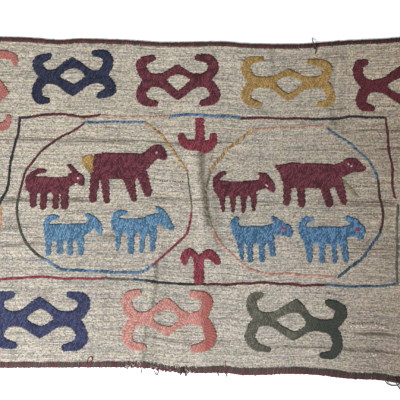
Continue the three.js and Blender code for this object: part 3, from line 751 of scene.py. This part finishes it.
# The animals in the ovals: goats, sheep and donkeys, wrapped in the same way as the border figures. Their
# eyes are a few stitches of pale or red wool laid over the head. Each is a set of strokes that join, and a
# stroke is a line of (x, y, width).
ANIMALS = {
    "left_small_goat": ("maroon", [
        [(-389, 44, 38), (-327, 45, 35)], [(-366, 76, 8), (-384, 74, 12), (-398, 60, 18), (-398, 40, 20)],
        [(-391, 33, 17), (-392, 0, 15)], [(-366, 33, 16), (-369, -5, 15)], [(-339, 33, 15), (-341, -5, 13)],
        [(-320, 33, 18), (-320, -3, 17)], [(-330, 48, 26), (-308, 52, 21)],
        [(-300, 61, 24), (-288, 59, 23), (-281, 49, 14)], [(-297, 74, 12), (-309, 88, 8)],
    ]),
    "left_large_sheep": ("maroon", [
        [(-228, 87, 58), (-164, 86, 57)], [(-246, 107, 17), (-144, 106, 17)],
        [(-250, 65, 22), (-256, 12, 16)], [(-229, 60, 19), (-224, 9, 14)], [(-174, 60, 27), (-162, 12, 12)],
        [(-142, 66, 25), (-130, 27, 20)], [(-141, 95, 34), (-123, 111, 30), (-108, 121, 32), (-95, 109, 17)],
    ]),
    "left_sheep_rump": ("gold", [
        [(-262, 103, 20), (-274, 99, 15), (-266, 87, 16), (-262, 76, 8)], [(-263, 103, 18), (-259, 78, 10)],
    ]),
    "left_blue_goat": ("blue", [
        [(-347, -65, 39), (-294, -64, 39)],
        [(-337, -30, 9), (-349, -30, 13), (-361, -41, 13), (-359, -58, 14)],
        [(-357, -80, 14), (-357, -111, 12)], [(-331, -84, 15), (-331, -107, 14)],
        [(-308, -84, 12), (-307, -111, 12)], [(-283, -84, 15), (-283, -110, 13)],
        [(-287, -60, 30), (-268, -54, 22)],
        [(-259, -43, 21), (-248, -46, 22), (-241, -58, 14), (-240, -63, 11)],
        [(-254, -34, 13), (-267, -26, 10)],
    ]),
    "left_blue_donkey": ("blue", [
        [(-194, -49, 35), (-128, -49, 35)],
        [(-181, -19, 9), (-197, -21, 14), (-207, -33, 15), (-203, -51, 18)],
        [(-197, -62, 15), (-199, -103, 7)], [(-169, -62, 16), (-169, -107, 13)],
        [(-140, -62, 12), (-145, -106, 10)], [(-118, -62, 18), (-120, -102, 11)],
        [(-125, -38, 27), (-103, -33, 24), (-88, -42, 20), (-78, -53, 14)],
        [(-110, -9, 8), (-98, -17, 12), (-94, -34, 24)],
    ]),
    "right_small_goat": ("maroon", [
        [(39, 36, 34), (100, 36, 33)], [(43, 71, 8), (30, 63, 14), (25, 49, 15), (31, 33, 20)],
        [(38, 22, 16), (41, -15, 6)], [(63, 20, 16), (64, -17, 6)], [(88, 20, 15), (87, -17, 7)],
        [(111, 20, 16), (111, -12, 8)], [(105, 40, 25), (128, 45, 22)],
        [(136, 55, 25), (146, 45, 22), (152, 36, 14), (156, 29, 5)], [(134, 63, 16), (125, 68.5, 7)],
    ]),
    "right_large_sheep": ("maroon", [
        [(201, 66, 57), (278, 64, 55)], [(163, 87, 9), (189, 74, 39)], [(187, 46, 18), (186, 5, 16)],
        [(217, 46, 18), (220, 1, 16)], [(270, 46, 21), (283, 2, 18)], [(303, 50, 23), (317, 5, 14)],
        [(287, 67, 39), (312, 79, 31), (335, 89, 33), (357, 82, 15), (365, 83, 6)],
    ]),
    "right_blue_goat": ("strong_blue", [
        [(87, -70, 39), (137, -70, 38)], [(72, -35, 12), (67, -44, 18), (72, -63, 21)],
        [(80, -88, 15), (84, -123, 8)], [(101, -88, 15), (103, -127, 11)], [(129, -88, 14), (130, -126, 14)],
        [(150, -80, 15), (154, -113, 13)], [(144, -60, 25), (164, -56, 27), (184, -59, 27), (193, -70, 12)],
        [(171, -44, 17), (154, -31, 8)],
    ]),
    "right_blue_donkey": ("strong_blue", [
        [(238, -70, 38), (299, -71, 39)], [(244, -34, 9), (230, -36, 14), (221, -50, 18), (228, -67, 25)],
        [(235, -88, 18), (239, -128, 11)], [(267, -88, 14), (266, -129, 12)],
        [(293, -88, 13), (296, -129, 10)], [(315, -85, 17), (321, -126, 12)],
        [(312, -65, 25), (333, -60, 27), (350, -58, 28), (354, -72, 16)], [(342, -42, 18), (324, -32, 11)],
    ]),
}
LIMB_FILLET = 5
ANIMAL_TURNED = 0.8


def stroked_figure(name, strokes, turned=0.0):
    """A wrapped figure made of strokes. Its lower part turns to the wool's second shade."""
    points = np.array([point for stroke in strokes for point in stroke], float)
    reach = points[:, 2].max() / 2 + 1
    low, high = points[:, :2].min(axis=0) - reach, points[:, :2].max(axis=0) + reach
    routes = [along_route(stroke, 4)[0] if len(stroke) > 2 else stroke for stroke in strokes]

    def outside(x, y):
        whole = off_stroke(x, y, routes[0])
        for route in routes[1:]:
            whole = filleted(whole, off_stroke(x, y, route), LIMB_FILLET)
        return whole

    fade = (1, low[1] * 0.55 + high[1] * 0.45, low[1] + 4, turned)
    return wrapped_figure(name, outside, (*low, *high), fade)


for name, (wool, strokes) in ANIMALS.items():
    dress(stroked_figure("animal_" + name, strokes, ANIMAL_TURNED), wool)

# The tulips: two small crimson flowers, one hanging from the frame's far side and one standing on its near
# side, wrapped in the same way.
TULIPS = {
    "far": [
        [(-12, 187, 20), (-12, 140, 21)], [(-19, 193, 6), (-5, 193, 6)],
        [(-54, 153, 17), (-47, 139, 19), (-32, 135, 24), (-14, 135, 23)],
        [(19, 153, 18), (16, 140, 20), (2, 131, 27), (-14, 135, 23)], [(-4, 127, 18), (-2, 125, 17)],
    ],
    "near": [
        [(-14, -173, 23), (-14, -133, 23)],
        [(-18, -127, 15), (-25, -115, 14), (-38, -109, 18), (-47, -120, 19), (-47, -133, 11)],
        [(-10, -127, 15), (-2, -117, 17), (10, -114, 22), (22, -123, 19), (29, -132, 13)],
    ],
}
for name, strokes in TULIPS.items():
    dress(stroked_figure("tulip_" + name, strokes), "crimson")

# Eyes and small marks: a few stitches of another wool, laid over the figures. Each has its middle, its length
# and width, and its turn in degrees.
MARKS = {
    "left_small_goat_eye": ("pale", (-289, 60), (6.5, 4.5), 0),
    "left_large_sheep_eye": ("pale", (-110, 118), (6, 4.5), 0),
    "right_small_goat_eye": ("pale", (141, 43.5), (9, 3), -41),
    "right_large_sheep_eye": ("pale", (327, 92), (6, 3.4), -60),
    "right_large_sheep_brow": ("pale", (334, 87.5), (6, 3.4), 35),
    "right_blue_goat_eye": ("red", (179, -56), (14, 6.5), 0),
    "right_blue_donkey_eye": ("red", (347, -58), (10, 8.5), 0),
}
MARK_PITCH = 2.4
MARK_WIDE = 3.4
MARK_PROUD = 0.45
for name, (wool, (at_x, at_y), (long, wide), degrees) in MARKS.items():
    turn = math.radians(degrees)
    across = np.linspace(-1, 1, max(2, round(wide / MARK_PITCH))) * (wide - MARK_PITCH) / 2
    x = at_x - across * math.sin(turn)
    y = at_y + across * math.cos(turn)
    dress(lay_stitches(name, x, y, np.full(len(x), turn), long, MARK_WIDE, proud=MARK_PROUD), wool)

# The lines: a frame round the field and two ovals in it, each a row of slanting wraps over the warps. The
# weaver changed wool along the way, so each stretch of line has its own wool, width and places. A short olive
# float lies by the right oval's sheep.
LINES = {
    "left_oval": [
        ("line_blue", 6, [(-274, 187), (-200, 188), (-137, 187)]),
        ("old_gold", 7, [(-137, 187), (-119, 174), (-98, 156), (-73, 124), (-55, 95), (-41, 76)]),
        ("olive", 4.2, [(-41, 72), (-36, 40), (-32, 10), (-31, -19)]),
        ("crimson", 6, [(-31, -19), (-34, -42), (-43, -67), (-64, -88), (-84, -108), (-119, -138)]),
        ("line_blue", 7.4, [
            (-119, -138), (-132, -147), (-146, -153), (-164, -155), (-285, -150), (-324, -147), (-353, -133),
            (-369, -122)]),
        ("dark_green", 6.8, [
            (-369, -122), (-381, -114), (-405, -90), (-419, -64), (-426, -30), (-428, -1), (-424, 22)]),
        ("dark_maroon", 6, [
            (-424, 22), (-417, 49), (-406, 79), (-381, 112), (-353, 138), (-331, 152), (-308, 163),
            (-274, 186)]),
    ],
    "right_oval": [
        ("faded_salmon", 5, [(114, 172), (217, 176), (276, 178)]),
        ("grey_blue", 6, [(278, 174), (299, 159), (331, 138), (353, 118), (372, 99), (389, 72), (394, 56)]),
        ("umber", 6.4, [(394, 54), (397, 22), (404, -6), (404, -38), (399, -63)]),
        ("deep_blue", 7.4, [
            (399, -63), (388, -81), (374, -101), (353, -127), (335, -140), (317, -154), (303, -164)]),
        ("faded_salmon", 6.4, [
            (296, -164), (251, -163), (182, -158), (139, -158), (103, -147), (78, -129), (52, -106),
            (29, -79), (17, -54)]),
        ("olive", 6, [(17, -54), (5, -18), (2, 1), (3, 38), (9, 67)]),
        ("old_gold", 8, [(11, 74), (22, 92), (39, 111), (50, 124), (73, 143), (97, 161), (109, 171)]),
    ],
    "olive_float": [
        ("faded_olive", 11, [(312, 57), (322, 45), (334, 31), (346, 17)]),
    ],
    "frame_far": [
        ("black", 6.5, [(-420, 198), (-397, 200)]),
        ("dark_maroon", 7, [(-397, 200), (-340, 206), (-274, 200), (-239, 203)]),
        ("faded_salmon", 4.4, [(-239, 203), (-164, 200), (-80, 201)]),
        ("line_blue", 7, [(-80, 201), (-46, 204), (-11, 204), (46, 200), (82, 197)]),
        ("dark_maroon", 6.5, [(82, 197), (139, 197), (237, 195)]),
        ("black", 6.5, [(237, 195), (296, 195), (331, 200), (410, 197)]),
    ],
    "frame_left": [
        ("black", 7, [
            (-421, 198), (-425, 163), (-433, 140), (-442, 95), (-448, 49), (-454, 29), (-464, 10),
            (-467, -1)]),
        ("peach", 6, [(-467, -1), (-465, -30), (-467, -54), (-474, -110), (-481, -171)]),
    ],
    "frame_right": [
        ("dark_maroon", 6.5, [(412, 197), (415, 163), (420, 117), (426, 83), (428, 33), (432, 15)]),
        ("green", 6.5, [(439, -1), (438, -19), (437, -70), (437, -181)]),
    ],
    "frame_near": [
        ("crimson", 7, [(-481, -171), (-422, -168), (-404, -165), (-353, -166), (-308, -169), (-228, -168)]),
        ("green", 6.5, [(-228, -168), (-164, -171)]),
        ("deep_blue", 6.5, [(-164, -171), (-137, -173)]),
        ("black", 7, [(-137, -173), (-109, -176), (-75, -180), (-34, -181), (0, -182)]),
        ("dark_maroon", 7, [
            (0, -182), (46, -182), (91, -180), (125, -178), (182, -181), (228, -184), (274, -183)]),
        ("deep_blue", 6, [(274, -183), (319, -186), (388, -186), (437, -181)]),
    ],
}
LINE_PITCH = 2.9
LINE_SLANT = 48
LINE_YARN = 3.3
LINE_SUNK = -0.2
LINE_WANDER = 0.7
for line, stretches in LINES.items():
    for number, (wool, wide, places) in enumerate(stretches, 1):
        route, heading, at = along_route(places, LINE_PITCH)
        slant = math.radians(LINE_SLANT)
        wander = LINE_WANDER * np.sin(at / random.uniform(9, 16) + random.uniform(0, 6))
        wander = wander + random.normal(0, 0.25, len(at))
        x = route[:, 0] - wander * np.sin(heading)
        y = route[:, 1] + wander * np.cos(heading)
        long = wide / math.sin(slant) * random.uniform(0.76, 1.18, len(at))
        name = f"line_{line}_{number}" if len(stretches) > 1 else "line_" + line
        dress(lay_stitches(name, x, y, heading + slant, long, LINE_YARN, proud=LINE_SUNK), wool)

# The edges: a stout edge cord on all four sides, overcast all along with thick yarn in two colours that
# change every few turns. Each turn is one closed loop of yarn round the cord.
CORD_THICK = 5.4
TURN_YARN = 2.5
TURN_PITCH = 2.35
TURN_SLANT = 0.26
TURN_STEPS = 14
TURN_SIDES = 6
# From where, and over how far, the wraps are painted darker toward the right end, as shade where the light
# falls off
BINDING_SHADE_FROM = 90
BINDING_SHADE_OVER = 260

bpy.ops.mesh.primitive_torus_add(
    major_segments=TURN_STEPS, minor_segments=TURN_SIDES, major_radius=1, minor_radius=0.5
)
loop_piece = bpy.context.object
loop_points = np.array([point.co[:] for point in loop_piece.data.vertices])
TURN_FACES = np.array([face.vertices[:] for face in loop_piece.data.polygons])
bpy.data.objects.remove(loop_piece)
loop_angle = np.arctan2(loop_points[:, 1], loop_points[:, 0])
loop_out = (np.hypot(loop_points[:, 0], loop_points[:, 1]) - 1) * TURN_YARN
TURN_ACROSS = ((CORD_WIDE - TURN_YARN) / 2 + loop_out) * np.cos(loop_angle)
TURN_UP = CORD_THICK / 2 + ((CORD_THICK - TURN_YARN) / 2 + loop_out) * np.sin(loop_angle)
TURN_THICK = loop_points[:, 2] * TURN_YARN
TURN_SHEAR = TURN_SLANT * TURN_ACROSS * np.sin(loop_angle)


def binding_wool(name, red, grey):
    """Overcast yarn in two colours, darker where frayed, and painted darker toward the right end as shade"""
    material, wire, shader = wool_material(name)
    tone = wire.attribute("tone")
    dye = wire.attribute("dye")
    worn = wire.attribute("worn")
    fibre = wire.fibres()
    level = (0.80 + tone * 0.26 + fibre * 0.4) * (1.0 - worn * 0.4)
    finish_wool(wire, shader, dye.mix(red, grey).tinted(level), fibre, 0.5, 0.4)
    return material


far_wool = binding_wool("far_edge_yarn", (0.088, 0.024, 0.023, 1), (0.044, 0.021, 0.018, 1))
near_wool = binding_wool("near_edge_yarn", (0.092, 0.027, 0.033, 1), (0.048, 0.050, 0.041, 1))


def overcast_edge(name, node, route, wool, runs=(2, 5), greyed_and_shaded=(0, 1, 0, 0), frayed=(0, 0)):
    """Wrap an edge. route is its middle line and width; runs is how many turns have one colour; the greying
    is from where to where, how much the far side turns to the grey yarn, which on the far edge is partly
    painted shade on the side away from the light, and how much the near side turns to the red; frayed is
    where wear has left the wraps uneven."""
    places, heading, at = along_route(route, TURN_PITCH)
    copies = len(at)
    first, kind, dye = 0, 0, np.zeros(copies)
    while first < copies:
        run = random.integers(*runs)
        dye[first:first + run] = kind
        first, kind = first + run, 1 - kind
    worn = ((places[:, 0] > frayed[0]) & (places[:, 0] < frayed[1])).astype(float)
    dye = np.clip(dye + random.normal(0, 0.18 + 0.4 * worn, copies), 0, 1)
    wide = places[:, 2] / CORD_WIDE * random.uniform(0.93, 1.06, copies)
    wide = wide * (1 + worn * random.uniform(-0.18, 0.18, copies))
    high = random.uniform(0.92, 1.0, copies)
    shift = random.normal(0, 0.35 + 0.7 * worn, copies)
    lean = 1 + random.normal(0, 0.12 + 0.9 * worn, copies)
    across = TURN_ACROSS[None] * wide[:, None] + shift[:, None]
    along = TURN_THICK[None] + TURN_SHEAR[None] * lean[:, None] + random.normal(0, 0.15, copies)[:, None]
    x, y = swung(places[:, 0], places[:, 1], heading, along, -across)
    z = rise(x, y) + TURN_UP[None] * high[:, None]
    turn_from, turn_to, far_side_grey_and_shade, near_red = greyed_and_shaded
    turned = np.clip((places[:, :1] - turn_from) / (turn_to - turn_from), 0, 1)
    dye = dye[:, None]
    # On the far edge, turning the far side to the grey yarn is partly painted shade on the side away from the
    # light
    dye = np.where(TURN_ACROSS[None] > 0.5, dye + far_side_grey_and_shade * turned, dye * (1 - near_red * turned))
    dye = np.clip(dye, 0, 1)
    # Painted shade: the wraps darken toward the right end, on top of the frayed wraps' wear
    worn = np.clip(worn * 0.5 + (places[:, 0] - BINDING_SHADE_FROM) / BINDING_SHADE_OVER, 0, 1)
    tone = random.uniform(-1, 1, copies)
    piece = joined(name, in_frame(x, y, z), TURN_FACES, tone=tone, dye=dye, worn=worn)
    fix(piece, wool)
    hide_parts(node)


# How wide the wraps of each long edge are, and how far the near ones stand out from the outline
FAR_WIDE = 12
NEAR_WIDE = [(-610, 16.5), (-20, 16.8), (50, 20.0), (165, 20.6), (240, 19.0), (610, 19.0)]
NEAR_OUT = 1.2
half = CORD_WIDE / 2
far_line = np.linspace(LEFT_END[-1][1] + 1, RIGHT_END[-1][1] - 1, 90)
near_line = np.linspace(LEFT_END[0][1] + 1, RIGHT_END[0][1] - 1, 90)
up_share = np.linspace(0.016, 0.984, 40)
left_x = smooth_at(LEFT_END, up_share) + half
right_x = smooth_at(RIGHT_END, up_share) - half


def up_the_end(x):
    """Heights up an end at shares of the way from the near edge to the far one"""
    near_y, far_y = smooth_at(NEAR_EDGE, x), smooth_at(FAR_EDGE, x)
    return near_y + (far_y - near_y) * up_share


near_wide = smooth_at(NEAR_WIDE, near_line)
far_y = smooth_at(FAR_EDGE, far_line) - FAR_WIDE / 2
near_y = smooth_at(NEAR_EDGE, near_line) + near_wide / 2 - NEAR_OUT
end_wide = np.full(len(up_share), CORD_WIDE)
far_route = np.stack([far_line, far_y, np.full(len(far_line), FAR_WIDE)], -1)
near_route = np.stack([near_line, near_y, near_wide], -1)
# The far edge's wraps are grey on their outer side: partly the second yarn, partly painted shade away from
# the light
overcast_edge(
    "far_edge_wraps", "far_edge_cord", far_route, far_wool, runs=(5, 13), greyed_and_shaded=(-700, -699, 0.65, 0)
)
overcast_edge(
    "near_edge_wraps", "near_edge_cord", near_route, near_wool, runs=(3, 6), greyed_and_shaded=(-215, -160, 0.55, 0.5),
    frayed=(-190, -20)
)
for side, end_x in {"left": left_x, "right": right_x}.items():
    end_route = np.stack([end_x, up_the_end(end_x), end_wide], -1)
    overcast_edge(side + "_end_wraps", side + "_end_cord", end_route, far_wool)

# Loose yarn: knots where an edge yarn was tied off, with the ends left hanging. Each yarn is two plies
# twisted together. Each row is the knot's middle, its size, and the ends, which come down to the floor or
# lie on the mat, as (x, y, height).
LOOSE_THICK = 2.8
PLY_LAY = 7
PLY_THICK = 0.29
PLY_OUT = 0.22
YARN_STEP = 0.8
KNOT_UP = 7.8
KNOT_HIGH = 4.2
LOOSE_YARN = {
    "near_corner_yarn": ((429, -398), (13, 9), [
        [(430, -399, 7.4), (435, -406, 7.0), (439, -413, 3.4), (444, -420, 1.8), (452, -433, 1.8)],
        [(432, -399, 7.4), (440, -404, 7.2), (449, -411, 7.0), (456, -419, 3.0), (466, -424, 1.8)],
        [(424, -397, 7.4), (411, -400, 7.0), (414, -407, 3.0), (424, -412, 1.8), (436, -412, 1.8),
         (443, -409, 1.8)],
    ]),
    "far_edge_tuft": ((250, 359), (8, 13), [
        [(250, 360, 7.4), (247, 367, 7.2), (245, 373, 4.6), (244, 379, 1.8)],
        [(251, 358, 7.4), (253, 351, 6.6), (251, 344, 5.4)],
    ]),
    "near_edge_knot": ((-54, -375), (10, 8), [
        [(-54, -377, 7.4), (-56, -384, 6.4), (-56, -389, 1.8)],
        [(-52, -377, 7.4), (-46, -382, 7.0), (-43, -388, 3.4), (-44, -391, 1.8)],
    ]),
}


def knot_route(at_x, at_y, long, wide):
    """A yarn wound three times round itself, as in a small pulled knot"""
    angle = np.linspace(0, 6 * math.pi, 40)
    swing = 0.75 + 0.25 * np.cos(angle / 3)
    x = at_x + (long - LOOSE_THICK) / 2 * swing * np.cos(angle)
    y = at_y + (wide - LOOSE_THICK) / 2 * np.sin(angle + 0.5 * np.sin(angle / 3))
    z = KNOT_UP + (KNOT_HIGH - LOOSE_THICK) / 2 * np.sin(angle * 1.33)
    return np.stack([x, y, z], axis=-1)


def spun_yarn(name, routes, thick, plies=2):
    """Yarns of twisted plies along their routes, as one mesh"""
    curve = bpy.data.curves.new(name, "CURVE")
    curve.dimensions = "3D"
    radius, off = (thick * PLY_THICK, thick * PLY_OUT) if plies > 1 else (thick * 0.5, 0)
    curve.bevel_depth = radius * MM
    curve.bevel_resolution = 1
    curve.use_fill_caps = True
    for route in routes:
        places, heading, at = along_route(route, YARN_STEP)
        for ply in range(plies):
            angle = 2 * math.pi * (at / PLY_LAY + ply / plies)
            x = places[:, 0] - off * np.cos(angle) * np.sin(heading)
            y = places[:, 1] + off * np.cos(angle) * np.cos(heading)
            z = places[:, 2] + off * np.sin(angle)
            spline = curve.splines.new("POLY")
            spline.points.add(len(at) - 1)
            corners = np.concatenate([in_frame(x, y, z), np.ones((len(at), 1))], axis=1)
            spline.points.foreach_set("co", corners.ravel())
    piece = bpy.data.objects.new(name, curve)
    bpy.context.collection.objects.link(piece)
    bpy.ops.object.select_all(action="DESELECT")
    piece.select_set(True)
    bpy.context.view_layer.objects.active = piece
    bpy.ops.object.convert(target="MESH")
    bpy.ops.object.shade_smooth()
    return bpy.context.object


for name, (at, size, ends) in LOOSE_YARN.items():
    yarn = spun_yarn(name + "_plied", [knot_route(*at, *size), *ends], LOOSE_THICK)
    dress(yarn, "brown")
    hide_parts(name)

# Broken ends, fluff and stray threads, most of them along the near edge: single thin plies, worked loose.
# Each thread has its wool, how thick it is, and its routes as (x, y, height).
THREADS = {
    "brown_whiskers": ("brown", 1.9, [
        [(-146, -370, 6), (-145, -377, 4), (-145, -384, 0.8)],
        [(27, -379, 6), (29, -386, 3), (31, -391, 0.8)], [(46, -380, 6), (48, -387, 3), (50, -393, 0.8)],
    ]),
    "red_whiskers": ("dark_maroon", 1.9, [
        [(-118, -372, 6), (-115, -381, 4), (-111, -389, 0.8)],
        [(-105, -373, 6), (-107, -381, 4), (-109, -389, 0.8)],
        [(-44, -378, 6), (-44, -384, 4), (-46, -390, 0.8)],
        [(-184, -367, 6), (-181, -371, 4), (-176, -375, 0.8)],
        [(436, -390, 6.4), (442, -398, 7), (445, -408, 3)],
    ]),
    "brown_loop": ("dark_maroon", 2.0, [
        [(-268, -362, 4.6), (-266, -351, 5), (-261, -346, 5.2), (-256, -349, 5.2), (-259, -358, 4.8)],
    ]),
    "dark_curl": ("brown", 1.3, [[(275, -202, 3.4), (279, -199.5, 4.4), (284, -204, 3.4)]]),
    "salmon_thread": ("salmon", 1.8, [[(45, -355, 4.6), (46, -362, 5), (44, -370, 6)]]),
}
for name, (wool, thick, routes) in THREADS.items():
    dress(spun_yarn(name, routes, thick, plies=1), wool)

# Fluff: how many bits of each wool, between which places, how long, how far in from the edge and how bent
FLUFF = {"white": 30, "maroon": 26, "brown": 26}
FLUFF_FROM, FLUFF_TO = -182, -22
FLUFF_LONG = (4, 9)
FLUFF_IN = (1.5, 9)
FLUFF_BEND = 1.5
FLUFF_THICK = 0.8
for wool, count in FLUFF.items():
    routes = []
    for start in random.uniform(FLUFF_FROM, FLUFF_TO, count):
        edge = float(smooth_at(NEAR_EDGE, start))
        heading, long = random.uniform(0, 2 * math.pi), random.uniform(*FLUFF_LONG)
        bend = random.uniform(-FLUFF_BEND, FLUFF_BEND)
        middle = (start, edge + random.uniform(*FLUFF_IN))
        step_x, step_y = long / 2 * math.cos(heading), long / 2 * math.sin(heading) * 0.6
        routes.append([
            (middle[0] - step_x, middle[1] - step_y, 5.3),
            (middle[0] + bend, middle[1] + bend, 6.2),
            (middle[0] + step_x, middle[1] + step_y, 5.0),
        ])
    dress(spun_yarn("edge_fluff_" + wool, routes, FLUFF_THICK, plies=1), wool)

# Slubs and worn spots: single weft beads that show dark or pale in the ground. Each row says from where to
# where they lie, how many there are, and how far they stray from the line.
SPOTS = {
    "dark_row_far_right": ("brown", (390, 224), (431, 224), 9, 0.5),
    "dark_row_left": ("brown", (-103, 54), (-50, 53), 10, 0.6),
    "dark_row_right": ("brown", (344, 42), (369, 42), 6, 0.5),
    "dark_row_head": ("brown", (106, 44), (122, 44), 4, 0.3),
    "worn_dots": ("white", (333, -279), (404, -279), 20, 2.8),
    "worn_dark_dots": ("brown", (331, -270), (402, -270), 14, 1.7),
    "worn_dots_near": ("white", (370, -343), (392, -347), 8, 3),
    "worn_dots_far_edge": ("white", (210, 357), (230, 357), 10, 1.5),
}
BEAD_SIZE = (4.2, 2.9)
BEAD_SUNK = -0.5
for name, (wool, (from_x, from_y), (to_x, to_y), count, spread) in SPOTS.items():
    share = np.linspace(0, 1, count)
    x = from_x + (to_x - from_x) * share + random.normal(0, 1.0, count)
    y = from_y + (to_y - from_y) * share + random.normal(0, spread, count)
    dress(lay_stitches(name, x, y, np.zeros(count), *BEAD_SIZE, proud=BEAD_SUNK), wool)

# The floor and the light: a plain pale floor, one soft key light from the near left, and a soft sky.
FLOOR_SIDE = 8
FLOOR_COLOUR = (0.93, 0.93, 0.92, 1)
KEY_PLACE = (-1.35, -1.25, 1.7)
KEY_SIDE = 0.9
KEY_POWER = 112
SKY = (0.93, 0.96, 1.0, 1)
SKY_STRENGTH = 0.62

bpy.ops.object.select_all(action="DESELECT")
bpy.ops.mesh.primitive_plane_add(size=FLOOR_SIDE, location=(0, 0, 0))
floor = bpy.context.object
floor.name = "floor"
floor_material = bpy.data.materials.new("pale_floor")
floor_material.use_nodes = True
floor_shader = floor_material.node_tree.nodes["Principled BSDF"]
floor_shader.inputs["Base Color"].default_value = FLOOR_COLOUR
floor_shader.inputs["Roughness"].default_value = 0.9
floor.data.materials.append(floor_material)

bpy.ops.object.light_add(type="AREA", location=KEY_PLACE)
key = bpy.context.object
key.data.size = KEY_SIDE
key.data.energy = KEY_POWER
key.rotation_euler = (-key.location).to_track_quat("-Z", "Y").to_euler()

world = bpy.data.worlds.new("soft_sky")
world.use_nodes = True
world.node_tree.nodes["Background"].inputs[0].default_value = SKY
world.node_tree.nodes["Background"].inputs[1].default_value = SKY_STRENGTH
bpy.context.scene.world = world
